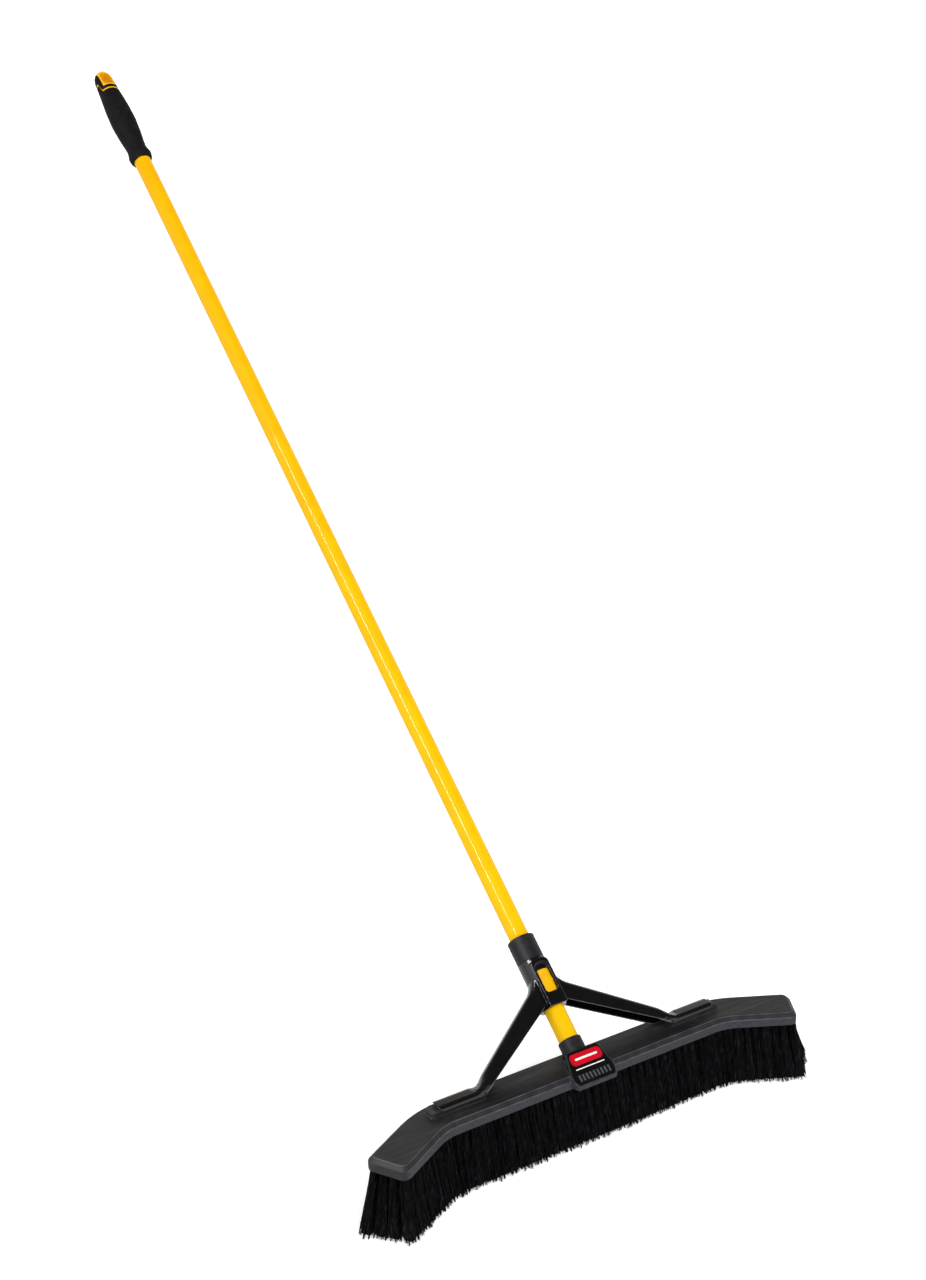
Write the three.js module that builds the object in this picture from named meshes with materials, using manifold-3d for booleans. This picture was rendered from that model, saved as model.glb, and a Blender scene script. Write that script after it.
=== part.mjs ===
// Push broom: a curved 24 inch block with four rows of tufts, a moulded brace with a latch button,
// and a 1 inch steel pole with a rubber grip and a hang loop.
//
// Millimetres, +Z up. The origin is on the floor, below the middle of the block's front face.
// +X runs along the block, -Y is the side it sweeps towards, and the pole leans back towards +Y.
// Parts round the pole are built in the pole frame: its origin is where the pole's axis crosses
// the top of the block, +Z runs up the pole and -Y is the pole's front.

import * as THREE from 'three';
import { mergeVertices } from 'three/addons/utils/BufferGeometryUtils.js';
import Module from 'manifold-3d';

const wasm = await Module();
wasm.setup();

const DEG = Math.PI / 180;
const GAP = 0.3; // clearance between pieces that touch
const ROUND_SEGMENTS = 48; // facets round the pole and its fittings

// ---- Driving dimensions -------------------------------------------------------------------

const SPAN = 610; // over the tips of the wings, 24 in
const BLOCK_DEPTH = 54;
const BLOCK_THICKNESS = 16;
const FASCIA_HEIGHT = 10.5; // upright part of the edge, below the bevel
const BEVEL_INSET = 5.5;
const END_RADIUS = 9; // plan radius of the block's four corners
const CORNER_X = 202; // where the front edges of the middle and of a wing would meet
const WING_ANGLE = 29 * DEG;
const FRONT_BEND_RADIUS = 62;

const BRISTLE_LENGTH = 73; // visible below the block
const TUFT_ROOT = 6; // buried in the block
const ROW_DEPTHS = [8.4, 20.8, 33.2, 45.6]; // from the front face to the middle of each row
const ROW_THICKNESS = 6.5;
const ROW_END_MARGIN = 6;
const DEPTH_SPREAD = 1.5; // how much wider the rows stand at their tips than at their roots
const END_SPLAY = 24; // how far the end tufts lean out

const POLE_RADIUS = 12.7;
const POLE_BORE = 11.5;
const POLE_LEAN = 48 * DEG; // from the vertical
const POLE_Y = 30; // where the pole's axis crosses the block's top
const POLE_START = -17;
const POLE_END = 1621;

const BLOCK_TOP = BRISTLE_LENGTH + BLOCK_THICKNESS;
const POLE_CLEAR = POLE_RADIUS + GAP;

const poleFrame = new THREE.Matrix4()
  .makeTranslation(0, POLE_Y, BLOCK_TOP)
  .multiply(new THREE.Matrix4().makeRotationX(-POLE_LEAN));

// ---- Geometry helpers ---------------------------------------------------------------------

const vec = (x, y, z) => new THREE.Vector3(x, y, z);

// Joins rings of points, all with the same count, into one closed surface. The ends are capped,
// or, when `around` is set, the last ring joins the first.
function loft(rings, around = false) {
  const count = rings[0].length;
  const positions = rings.flat().flatMap((p) => [p.x, p.y, p.z]);
  const index = [];
  const spans = around ? rings.length : rings.length - 1;
  for (let i = 0; i < spans; i++) {
    for (let j = 0; j < count; j++) {
      const a = i * count + j;
      const b = i * count + ((j + 1) % count);
      const c = ((i + 1) % rings.length) * count + j;
      const d = ((i + 1) % rings.length) * count + ((j + 1) % count);
      index.push(a, b, d, a, d, c);
    }
  }
  if (!around) {
    const last = (rings.length - 1) * count;
    for (const [a, b, c] of capFaces(rings[0])) index.push(c, b, a);
    for (const [a, b, c] of capFaces(rings.at(-1))) index.push(last + a, last + b, last + c);
  }
  const geometry = new THREE.BufferGeometry();
  geometry.setAttribute('position', new THREE.Float32BufferAttribute(positions, 3));
  geometry.setIndex(index);
  return facingOut(geometry);
}

// Triangles across a flat ring, wound along the ring's own direction.
function capFaces(ring) {
  const normal = vec(0, 0, 0);
  ring.forEach((p, i) => {
    const q = ring[(i + 1) % ring.length];
    normal.x += (p.y - q.y) * (p.z + q.z);
    normal.y += (p.z - q.z) * (p.x + q.x);
    normal.z += (p.x - q.x) * (p.y + q.y);
  });
  const across = ring[1].clone().sub(ring[0]).normalize();
  const up = normal.normalize().clone().cross(across).normalize();
  const flat = ring.map((p) => new THREE.Vector2(p.dot(across), p.dot(up)));
  return THREE.ShapeUtils.triangulateShape(flat, []);
}

// Turns every face over if the surface encloses a negative volume.
function facingOut(geometry) {
  const p = geometry.attributes.position;
  const index = geometry.index;
  const [a, b, c] = [vec(0, 0, 0), vec(0, 0, 0), vec(0, 0, 0)];
  let volume = 0;
  for (let i = 0; i < index.count; i += 3) {
    a.fromBufferAttribute(p, index.getX(i));
    b.fromBufferAttribute(p, index.getX(i + 1));
    c.fromBufferAttribute(p, index.getX(i + 2));
    volume += a.dot(b.cross(c));
  }
  if (volume < 0) {
    for (let i = 0; i < index.count; i += 3) {
      const first = index.getX(i);
      index.setX(i, index.getX(i + 2));
      index.setX(i + 2, first);
    }
  }
  return geometry;
}

function solid(geometry) {
  const bare = geometry.clone();
  for (const name of ['normal', 'uv']) bare.deleteAttribute(name);
  const merged = mergeVertices(bare, 1e-4);
  return new wasm.Manifold(new wasm.Mesh({
    numProp: 3,
    vertProperties: new Float32Array(merged.attributes.position.array),
    triVerts: new Uint32Array(merged.index.array),
  }));
}

function surface(body) {
  const mesh = body.getMesh();
  const geometry = new THREE.BufferGeometry();
  geometry.setAttribute('position', new THREE.Float32BufferAttribute(mesh.vertProperties, 3));
  geometry.setIndex(Array.from(mesh.triVerts));
  return geometry;
}

const joined = (...parts) => parts.map(solid).reduce((a, b) => a.add(b));
const without = (body, ...cuts) => cuts.map(solid).reduce((a, b) => a.subtract(b), body);

// A solid of revolution about Z from a closed outline of [radius, height] points.
function turned(outline, segments = ROUND_SEGMENTS) {
  const points = [...outline, outline[0]].map(([r, z]) => new THREE.Vector2(r, z));
  const lathe = new THREE.LatheGeometry(points, segments).rotateX(90 * DEG);
  return facingOut(mergeVertices(positionsOnly(lathe), 1e-4));
}

function positionsOnly(geometry) {
  geometry.deleteAttribute('normal');
  geometry.deleteAttribute('uv');
  return geometry;
}

const tube = (inner, outer, low, high, segments) =>
  turned([[inner, low], [outer, low], [outer, high], [inner, high]], segments);

const rod = (radius, low, high, segments = ROUND_SEGMENTS) =>
  new THREE.CylinderGeometry(radius, radius, high - low, segments)
    .rotateX(90 * DEG)
    .translate(0, 0, (low + high) / 2);

const rodAlongX = (radius, halfLength, y, z, segments = 16) =>
  new THREE.CylinderGeometry(radius, radius, 2 * halfLength, segments)
    .rotateZ(90 * DEG)
    .translate(0, y, z);

// A box from its lowest to its highest corner.
const box = ([x0, y0, z0], [x1, y1, z1]) =>
  new THREE.BoxGeometry(x1 - x0, y1 - y0, z1 - z0).translate((x0 + x1) / 2, (y0 + y1) / 2, (z0 + z1) / 2);

// A prism along Y from an outline of [x, z] points.
function prismAlongY(outline, low, high) {
  const ring = (y) => outline.map(([x, z]) => vec(x, y, z));
  return loft([ring(low), ring(high)]);
}

// A rectangle of [x, z] points with rounded corners.
function roundedOutline(halfWidth, low, high, radius, steps = 4) {
  const corners = [
    [halfWidth - radius, high - radius, 0],
    [-halfWidth + radius, high - radius, 90],
    [-halfWidth + radius, low + radius, 180],
    [halfWidth - radius, low + radius, 270],
  ];
  return corners.flatMap(([x, z, start]) =>
    Array.from({ length: steps + 1 }, (_, i) => {
      const angle = (start + (90 * i) / steps) * DEG;
      return [x + radius * Math.cos(angle), z + radius * Math.sin(angle)];
    }));
}

// A rectangle of [x, z] points with its two upper corners rounded.
const archedOutline = (halfWidth, low, high, radius) => [
  ...roundedOutline(halfWidth, low, high, radius).filter(([, z]) => z > (low + high) / 2),
  [-halfWidth, low],
  [halfWidth, low],
];

// An outline with every corner [x, y, radius] replaced by an arc that meets both of its sides.
function roundCorners(corners, steps = 5) {
  return corners.flatMap(([x, y, radius], i) => {
    const corner = new THREE.Vector2(x, y);
    const towards = (j) => new THREE.Vector2(...corners.at(j % corners.length)).sub(corner).normalize();
    const [before, after] = [towards(i - 1), towards(i + 1)];
    const half = Math.acos(before.dot(after)) / 2;
    const middle = before.clone().add(after).normalize();
    const centre = corner.clone().addScaledVector(middle, radius / Math.sin(half));
    const start = before.clone().multiplyScalar(radius / Math.tan(half)).add(corner).sub(centre);
    const turn = Math.sign(before.cross(after)) * -(Math.PI - 2 * half);
    return Array.from({ length: steps + 1 }, (_, k) => {
      const point = start.clone().rotateAround(new THREE.Vector2(), (turn * k) / steps).add(centre);
      return [point.x, point.y];
    });
  });
}

const onPole = (geometry) => geometry.clone().applyMatrix4(poleFrame);
const mix = (a, b, t) => a + (b - a) * t;
const smooth = (low, high, x) => THREE.MathUtils.smoothstep(x, low, high);

// ---- The block's curve --------------------------------------------------------------------

// `run` is the distance along the block from its middle, and `depth` the distance behind its
// front edge. Each wing bends forwards round a centre in front of the block.
const BEND_START = CORNER_X - FRONT_BEND_RADIUS * Math.tan(WING_ANGLE / 2);
const BEND_LENGTH = (FRONT_BEND_RADIUS + BLOCK_DEPTH / 2) * WING_ANGLE;
const BEND_STEPS = 12;
const ROUNDED_OFF = END_RADIUS * (Math.cos(WING_ANGLE) + Math.sin(WING_ANGLE) - 1);
const WING_LENGTH =
  (SPAN / 2 + ROUNDED_OFF - BEND_START - (FRONT_BEND_RADIUS + BLOCK_DEPTH) * Math.sin(WING_ANGLE)) /
  Math.cos(WING_ANGLE);
const HALF_RUN = BEND_START + BEND_LENGTH + WING_LENGTH;
const MITRE = BEND_START + BEND_LENGTH / 2; // where the wing rows meet the middle rows

function onBlock(run, depth, z) {
  const side = Math.sign(run);
  const along = Math.abs(run);
  if (along <= BEND_START) return vec(run, depth, z);
  const angle = Math.min((along - BEND_START) / BEND_LENGTH, 1) * WING_ANGLE;
  const past = Math.max(along - BEND_START - BEND_LENGTH, 0);
  const radius = FRONT_BEND_RADIUS + depth;
  return vec(
    side * (BEND_START + radius * Math.sin(angle) + past * Math.cos(angle)),
    -FRONT_BEND_RADIUS + radius * Math.cos(angle) - past * Math.sin(angle),
    z,
  );
}

// The [run, depth] outline of a strip of the block, with points where the block bends.
function strip(runs, depths, radius = 0) {
  const bends = Array.from({ length: BEND_STEPS + 1 }, (_, i) => BEND_START + (BEND_LENGTH * i) / BEND_STEPS);
  const stations = [...bends.map((run) => -run).reverse(), ...bends]
    .filter((run) => run > runs[0] + radius + 1 && run < runs[1] - radius - 1);
  const corner = (run, depth, start) => (radius === 0
    ? [[run, depth]]
    : [0, 30, 60, 90].map((turn) => [
      run + radius * Math.cos((start + turn) * DEG),
      depth + radius * Math.sin((start + turn) * DEG),
    ]));
  return [
    ...corner(runs[0] + radius, depths[0] + radius, 180),
    ...stations.map((run) => [run, depths[0]]),
    ...corner(runs[1] - radius, depths[0] + radius, 270),
    ...corner(runs[1] - radius, depths[1] - radius, 0),
    ...[...stations].reverse().map((run) => [run, depths[1]]),
    ...corner(runs[0] + radius, depths[1] - radius, 90),
  ];
}

const ringOnBlock = (outline, z) => outline.map(([run, depth]) => onBlock(run, depth, z));

// ---- Block --------------------------------------------------------------------------------

const SOCKET_SEAT = -20; // pole frame height of the socket's floor
const SLEEVE_RADIUS = 14.75;
const SLEEVE_TOP = 25;
const SOCKET_WALL = 3;
const SOCKET_CLEAR_RUN = 21; // the middle rows stop this far from the centre to pass the socket
const MIDDLE_ROWS = [1, 2];

const PLINTH_HALF_WIDTH = 8.7;
const PLINTH_HEIGHT = 8.5;
const PLINTH_EDGE = 1.6;
const PLINTH_FROM = 136;
const PLINTH_TO = 209;
const SCREW_XS = [155, 182];
const SCREW_Y = BLOCK_DEPTH / 2; // in the web between the two middle rows
const SCREW_HEAD_RADIUS = 2.6;
const SCREW_RADIUS = 1.6;
const SCREW_HEAD_Z = BRISTLE_LENGTH + 0.4;
const SCREW_HEAD_HEIGHT = 2.2;
const SCREW_TIP_Z = BLOCK_TOP + 10.4;

// The label's sloping face: heights are measured up the slope from the plate's lower edge.
const LABEL_TILT = 36 * DEG;
const LABEL_FOOT = vec(0, -10.4, BLOCK_TOP - 6.8);
// Half of the plate's corners: half-width, height and radius.
const LABEL_CORNERS = [[26.8, 0, 3.5], [29.4, 10.6, 8], [21.7, 41.2, 2.8]];
const LABEL_THICKNESS = 1.2;
const LABEL_LIP = 1.7;
const BOSS_BOTTOM_Z = BRISTLE_LENGTH + 2.7;

const labelFrame = new THREE.Matrix4()
  .makeTranslation(...LABEL_FOOT.toArray())
  .multiply(new THREE.Matrix4().makeRotationX(LABEL_TILT));

// The plate's outline in its own plane, grown outwards by `grow`.
function labelOutline(grow = 0) {
  const [foot, shoulder, head] = LABEL_CORNERS;
  const right = [
    [foot[0] + grow, foot[1] - grow, foot[2] + grow],
    [shoulder[0] + grow, shoulder[1], shoulder[2] + grow],
    [head[0] + grow, head[1] + grow, head[2] + grow],
  ];
  return roundCorners([...right, ...right.map(([x, y, radius]) => [-x, y, radius]).reverse()]);
}

function labelPrism(grow, low, high) {
  const ring = (z) => labelOutline(grow).map(([x, y]) => vec(x, y, z));
  return loft([ring(low), ring(high)]).applyMatrix4(labelFrame);
}

// The wedge in the middle of the block: everything below the label's lip, with upright sides.
function labelWedge() {
  const top = labelOutline(LABEL_LIP).map(([x, y]) => vec(x, y, 0).applyMatrix4(labelFrame));
  const bottom = top.map((p) => vec(p.x, p.y, BOSS_BOTTOM_Z));
  return loft([bottom, top]);
}

// A raised pad under each foot of the brace, or with `grow` the room that the foot leaves it.
function plinth(side, grow = 0) {
  const section = (x, height, inset) => {
    const half = PLINTH_HALF_WIDTH - inset + grow;
    const top = BLOCK_TOP + height + grow;
    const outline = [[-half, BLOCK_TOP - 1], [-half, top - PLINTH_EDGE], [-half + PLINTH_EDGE, top]];
    return [...outline, ...outline.map(([y, z]) => [-y, z]).reverse()]
      .map(([y, z]) => vec(side * x, POLE_Y + y, z));
  };
  return loft([
    section(PLINTH_FROM - grow, PLINTH_HEIGHT, 0),
    section(PLINTH_TO - 4, PLINTH_HEIGHT, 0),
    section(PLINTH_TO, PLINTH_HEIGHT / 2, 2),
  ]);
}

// The runs that a row of tufts covers on both sides of the middle.
function rowRuns(row) {
  const end = HALF_RUN - ROW_END_MARGIN;
  return MIDDLE_ROWS.includes(row)
    ? [[-end, -SOCKET_CLEAR_RUN], [SOCKET_CLEAR_RUN, end]]
    : [[-end, end]];
}

function rowGroove(row, [from, to]) {
  const half = ROW_THICKNESS / 2 + GAP;
  const outline = strip([from - GAP, to + GAP], [ROW_DEPTHS[row] - half, ROW_DEPTHS[row] + half]);
  return loft([
    ringOnBlock(outline, BRISTLE_LENGTH - 1),
    ringOnBlock(outline, BRISTLE_LENGTH + TUFT_ROOT + GAP),
  ]);
}

function makeBlock() {
  const outline = (inset) => strip(
    [-HALF_RUN + inset, HALF_RUN - inset],
    [inset, BLOCK_DEPTH - inset],
    END_RADIUS - inset / 2,
  );
  const slab = loft([
    ringOnBlock(outline(0), BRISTLE_LENGTH),
    ringOnBlock(outline(0), BRISTLE_LENGTH + FASCIA_HEIGHT),
    ringOnBlock(outline(BEVEL_INSET), BLOCK_TOP),
  ]);
  const socket = onPole(rod(SLEEVE_RADIUS + GAP + SOCKET_WALL, SOCKET_SEAT - SOCKET_WALL, 3));
  const raised = joined(slab, labelWedge(), socket, plinth(-1), plinth(1));
  const screwHoles = [-1, 1].flatMap((side) => SCREW_XS.flatMap((x) => [
    rod(SCREW_HEAD_RADIUS + GAP, BRISTLE_LENGTH - 1, SCREW_HEAD_Z + SCREW_HEAD_HEIGHT + GAP, 12),
    rod(SCREW_RADIUS + GAP, BRISTLE_LENGTH, BLOCK_TOP + PLINTH_HEIGHT + 1, 12),
  ].map((hole) => hole.translate(side * x, SCREW_Y, 0))));
  const grooves = ROW_DEPTHS.flatMap((_, row) => rowRuns(row).map((runs) => rowGroove(row, runs)));
  return surface(without(
    raised,
    onPole(rod(SLEEVE_RADIUS + GAP, SOCKET_SEAT, 60)),
    labelPrism(GAP, -LABEL_THICKNESS - GAP, 4),
    ...screwHoles,
    ...grooves,
  ));
}

// ---- Tufts --------------------------------------------------------------------------------

// The tips of a row stand wider than its roots, and the last tufts lean outwards.
function atTips([run, depth]) {
  const middle = BLOCK_DEPTH / 2;
  const splay = END_SPLAY * (Math.abs(run) / HALF_RUN) ** 3;
  return [run + Math.sign(run) * splay, middle + (depth - middle) * DEPTH_SPREAD];
}

function makeTufts(row, [from, to]) {
  const half = ROW_THICKNESS / 2;
  const outline = strip([from + GAP, to - GAP], [ROW_DEPTHS[row] - half, ROW_DEPTHS[row] + half]);
  return loft([
    ringOnBlock(outline.map(atTips), 0),
    ringOnBlock(outline, BRISTLE_LENGTH - 1),
    ringOnBlock(outline, BRISTLE_LENGTH + TUFT_ROOT),
  ]);
}

// Each row is set in lengths that end at the bends, and the middle rows also stop at the socket.
function tuftLengths(row) {
  const end = HALF_RUN - ROW_END_MARGIN;
  const wings = { left_wing: [-end, -MITRE], right_wing: [MITRE, end] };
  return MIDDLE_ROWS.includes(row)
    ? { ...wings, left: [-MITRE, -SOCKET_CLEAR_RUN], right: [SOCKET_CLEAR_RUN, MITRE] }
    : { ...wings, middle: [-MITRE, MITRE] };
}

// ---- Brace --------------------------------------------------------------------------------

const BRACE_RADIUS = 17.7;
const BRACE_LOW = 66;
const BRACE_HIGH = 130;
const COLLAR_RADIUS = 17.4;
const COLLAR_TOP = 161.5;
const COLLAR_SPIGOT = 6;

const STRUT_WIDTH = 21;
const STRUT_WALL = 1.5;
const STRUT_OFFSET = 3; // the struts' middle plane lies this far in front of the pole's axis
const STRUT_PEAK = 109.9; // pole frame height where the two crown lines would meet
const STRUT_SLOPE = 0.686; // fall along the pole per unit of x
const STRUT_FROM = 12;
const FILLET_RISE = 13; // the crown climbs into the barrel over the last stretch
const FILLET_REACH = 16;
const BEND_FROM = 127;
const BEND_TO = 152;
const FOOT_END = 195;
const FOOT_LEAN = 5;
const FOOT_HEIGHT = 11.5; // crown above the block's top
const FOOT_SKIRT = 5; // the foot's walls end this far above the block's top

const poleX = vec(1, 0, 0);
const poleUp = vec(0, Math.sin(POLE_LEAN), Math.cos(POLE_LEAN));
const poleFront = vec(0, -Math.cos(POLE_LEAN), Math.sin(POLE_LEAN));

// The channel's section as [across, up] points: `up` is 0 at the crown and negative below it.
function channelSection({ depth, crown, radius }) {
  const half = STRUT_WIDTH / 2;
  const arc = (x, y, r, start, end) => [0, 1 / 3, 2 / 3, 1].map((t) => {
    const angle = mix(start, end, t) * DEG;
    return [x + r * Math.cos(angle), y + r * Math.sin(angle)];
  });
  const inner = Math.max(radius - STRUT_WALL, 1);
  return [
    [half, -depth],
    ...arc(half - radius, -radius, radius, 0, 90),
    ...arc(-half + radius, -radius, radius, 90, 180),
    [-half, -depth],
    [-half + STRUT_WALL, -depth],
    ...arc(-half + STRUT_WALL + inner, -crown - inner, inner, 180, 90),
    ...arc(half - STRUT_WALL - inner, -crown - inner, inner, 90, 0),
    [half - STRUT_WALL, -depth],
  ];
}

// The channel at distance x from the middle: up to the bend it lies in the pole's plane, and
// past the bend it lies flat on the block.
function channelRing(side, x, lean = 0) {
  const flat = smooth(BEND_FROM, BEND_TO, x);
  const fall = Math.atan(STRUT_SLOPE);
  const fillet = FILLET_RISE * Math.max(0, 1 - (x - STRUT_FROM) / FILLET_REACH) ** 2;
  const crownLine = vec(side * x, POLE_Y, BLOCK_TOP)
    .addScaledVector(poleUp, STRUT_PEAK - STRUT_SLOPE * x + fillet)
    .addScaledVector(poleFront, STRUT_OFFSET);
  const crownPoint = crownLine.lerp(vec(side * x, POLE_Y, BLOCK_TOP + FOOT_HEIGHT), flat);
  const up = poleX.clone().multiplyScalar(side * Math.sin(fall))
    .addScaledVector(poleUp, Math.cos(fall))
    .lerp(vec(0, 0, 1), flat)
    .normalize();
  const across = poleFront.clone().lerp(vec(0, -1, 0), flat).normalize();
  const depth = mix(27 - 0.08 * x + fillet * Math.cos(fall), FOOT_HEIGHT - FOOT_SKIRT, flat);
  const section = channelSection({ depth, crown: mix(1.8, 2.4, flat), radius: mix(8, 5, flat) });
  return section.map(([a, u]) => crownPoint.clone()
    .addScaledVector(across, a)
    .addScaledVector(up, u)
    .addScaledVector(poleX, side * lean * (1 + u / depth)));
}

function strut(side) {
  const xs = [];
  for (let x = STRUT_FROM; x < STRUT_FROM + FILLET_REACH; x += FILLET_REACH / 6) xs.push(x);
  xs.push(STRUT_FROM + FILLET_REACH, BEND_FROM);
  for (let x = BEND_FROM + 4; x < BEND_TO; x += 4) xs.push(x);
  xs.push(BEND_TO);
  return loft([...xs.map((x) => channelRing(side, x)), channelRing(side, FOOT_END, FOOT_LEAN)]);
}

// The button's pocket, in the pole frame.
const BUTTON_MIDDLE = 98.3;
const BUTTON_HALF_WIDTH = 8.25;
const BUTTON_HALF_LENGTH = 14.75;
const BUTTON_CORNER = 3.4;
const BUTTON_OUTER = 17.2;
const BUTTON_INNER = 15.4;
const POCKET_PLAY = 0.45;
const SCOOP_TOP = 121.5;
const SCOOP_FLOOR = 15.2;
const FRAME_HALF_WIDTH = 12.5;
const FRAME_FRONT = 19.2;
const FRAME_HIGH = 127;
const FRAME_CORNER = 7;
const PIN_RADIUS = 0.75;
const PIN_DEPTH = 14.6; // the pivot's distance in front of the pole's axis
const PIN_HALF_LENGTH = 11;

const pivotRod = (radius, halfLength) => rodAlongX(radius, halfLength, -PIN_DEPTH, BUTTON_MIDDLE);

function makeBrace() {
  const barrel = onPole(rod(BRACE_RADIUS, BRACE_LOW, BRACE_HIGH));
  const arch = archedOutline(FRAME_HALF_WIDTH, BRACE_LOW, FRAME_HIGH, FRAME_CORNER);
  const frame = onPole(prismAlongY(arch, -FRAME_FRONT, -8));
  const pocket = roundedOutline(
    BUTTON_HALF_WIDTH + POCKET_PLAY,
    BUTTON_MIDDLE - BUTTON_HALF_LENGTH - POCKET_PLAY,
    BUTTON_MIDDLE + BUTTON_HALF_LENGTH + POCKET_PLAY,
    BUTTON_CORNER + POCKET_PLAY,
    6,
  );
  const scoop = roundedOutline(BUTTON_HALF_WIDTH + POCKET_PLAY, BUTTON_MIDDLE, SCOOP_TOP, 6);
  const footHoles = [-1, 1].flatMap((side) => SCREW_XS.map((x) =>
    rod(SCREW_RADIUS + GAP, BLOCK_TOP, SCREW_TIP_Z + GAP, 12).translate(side * x, SCREW_Y, 0)));
  return surface(without(
    joined(barrel, frame, strut(-1), strut(1)),
    box([-SPAN, -SPAN, 0], [SPAN, SPAN, BLOCK_TOP + GAP]),
    plinth(-1, GAP),
    plinth(1, GAP),
    onPole(rod(POLE_CLEAR, BRACE_LOW - 1, BRACE_HIGH + 1)),
    onPole(rod(COLLAR_RADIUS - 2.2, BRACE_HIGH - COLLAR_SPIGOT - GAP, BRACE_HIGH + 1)),
    onPole(prismAlongY(pocket, -FRAME_FRONT - 1, -8)),
    onPole(prismAlongY(scoop, -FRAME_FRONT - 1, -SCOOP_FLOOR)),
    onPole(pivotRod(PIN_RADIUS + GAP, PIN_HALF_LENGTH + GAP)),
    ...footHoles,
  ));
}

function makeCollar() {
  const seat = BRACE_HIGH + GAP;
  const chamfer = 1.4;
  return turned([
    [POLE_CLEAR, BRACE_HIGH - COLLAR_SPIGOT],
    [COLLAR_RADIUS - 2.5, BRACE_HIGH - COLLAR_SPIGOT],
    [COLLAR_RADIUS - 2.5, seat],
    [COLLAR_RADIUS, seat],
    [COLLAR_RADIUS, COLLAR_TOP - chamfer],
    [COLLAR_RADIUS - chamfer, COLLAR_TOP],
    [POLE_CLEAR, COLLAR_TOP],
  ]);
}

// A rocking pad: its upper half is pressed in, and the tooth under its lower half lifts.
function makeButton() {
  const low = BUTTON_MIDDLE - BUTTON_HALF_LENGTH;
  const high = BUTTON_MIDDLE + BUTTON_HALF_LENGTH;
  const outline = roundedOutline(BUTTON_HALF_WIDTH, low, high, BUTTON_CORNER, 6);
  const pad = solid(tube(BUTTON_INNER, BUTTON_OUTER, low, high, 72))
    .intersect(solid(prismAlongY(outline, -FRAME_FRONT, -8)));
  const lugs = [-1, 1].map((side) => box(
    [Math.min(side * 5, side * 7.8), -16, BUTTON_MIDDLE - 2.4],
    [Math.max(side * 5, side * 7.8), -13, BUTTON_MIDDLE + 2.4],
  ));
  const tooth = box([-2.5, -16, low + 2.3], [2.5, -POLE_CLEAR - 0.1, low + 5.8]);
  const body = [...lugs, tooth].map(solid).reduce((a, b) => a.add(b), pad);
  return surface(without(body, pivotRod(PIN_RADIUS + GAP, 9), pivotRod(1.85, 3.6)));
}

function makeSpring() {
  return tube(PIN_RADIUS + GAP, 1.5, -3, 3, 16)
    .rotateY(90 * DEG)
    .translate(0, -PIN_DEPTH, BUTTON_MIDDLE);
}

function makeScrew() {
  const shoulder = SCREW_HEAD_Z + SCREW_HEAD_HEIGHT;
  return turned([
    [0, SCREW_HEAD_Z],
    [SCREW_HEAD_RADIUS, SCREW_HEAD_Z],
    [SCREW_HEAD_RADIUS, shoulder],
    [SCREW_RADIUS, shoulder],
    [SCREW_RADIUS, SCREW_TIP_Z - 2],
    [0, SCREW_TIP_Z],
  ], 12);
}

// ---- Pole and grip ------------------------------------------------------------------------

const LATCH_HOLE_RADIUS = 3;
const PLUG_LENGTH = 25;
const SPIGOT_LENGTH = 60;
const GRIP_SEGMENTS = 60;
const GRIP_LOW = 1484;
const GRIP_TIP = 1671;
const SEAM_FRONT = 1628; // the seam between sleeve and cap, at the front and the back
const SEAM_RISE = 18; // how much higher it runs at the two sides
const SEAM_HALF = 1;
const SEAM_PLAY = 0.8; // along the pole: where the seam is steep, much less across it
const STRAP_HALF_WIDTH = 10; // the yellow band over the tip
const STRAP_LOW = 1635;
const HOLE_HALF_WIDTH = 7.7;
const HOLE_LOW = 1637.5;
const HOLE_HIGH = 1661.5;
const TIP_HEIGHTS = [1645, 1655, 1662, 1667, 1670]; // where the rounded end's radius is given
const CORE_RADIUS = 11.4;
const CORE_TOP = 1657;
const SEAM_INNER = CORE_RADIUS - 1;

// Grip radius against height along the pole: flared rim, neck, palm swell, shoulders, tip.
const gripRadius = ((heights, radii) => {
  const curve = new THREE.CubicInterpolant(heights, radii, 1);
  return (s) => curve.evaluate(s)[0];
})(
  [GRIP_LOW, 1489, 1495, 1501, 1508, 1517, 1541, 1566, 1594, 1618, 1632, ...TIP_HEIGHTS],
  [14.2, 16.9, 17.7, 16.4, 15.0, 15.4, 17.9, 19.4, 18.6, 16.8, 15.5, 14.9, 14.3, 12.8, 10.4, 6.5],
);

// The seam is low across the front and back and rises into a tongue on each side.
function seamHeight(angle) {
  const fromFront = Math.acos(Math.min(1, Math.abs(Math.cos(angle)))) / DEG;
  return SEAM_FRONT + SEAM_RISE * smooth(56, 80, fromFront);
}

// A closed surface round the pole whose [radius, height] outline changes with the angle, which
// is measured from the pole's front.
function turnedVarying(outlineAt) {
  const rings = Array.from({ length: GRIP_SEGMENTS }, (_, i) => {
    const angle = (2 * Math.PI * i) / GRIP_SEGMENTS;
    return outlineAt(angle).map(([r, z]) => vec(r * Math.sin(angle), -r * Math.cos(angle), z));
  });
  return loft(rings, true);
}

function makeSleeve() {
  const shares = [0, 0.03, 0.075, 0.12, 0.165, 0.22, 0.39, 0.56, 0.75, 0.9, 1];
  return turnedVarying((angle) => {
    const top = seamHeight(angle) - SEAM_HALF - SEAM_PLAY;
    const outside = shares.map((share) => mix(GRIP_LOW, top, share)).map((s) => [gripRadius(s), s]);
    return [...outside, [POLE_CLEAR, top], [POLE_CLEAR, GRIP_LOW]];
  });
}

// The rounded end of the grip above a given height.
function gripEnd(low) {
  const wall = [low, ...TIP_HEIGHTS].map((s) => [gripRadius(s), s]);
  return turned([[0, low], ...wall, [0, GRIP_TIP]], GRIP_SEGMENTS);
}

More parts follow.
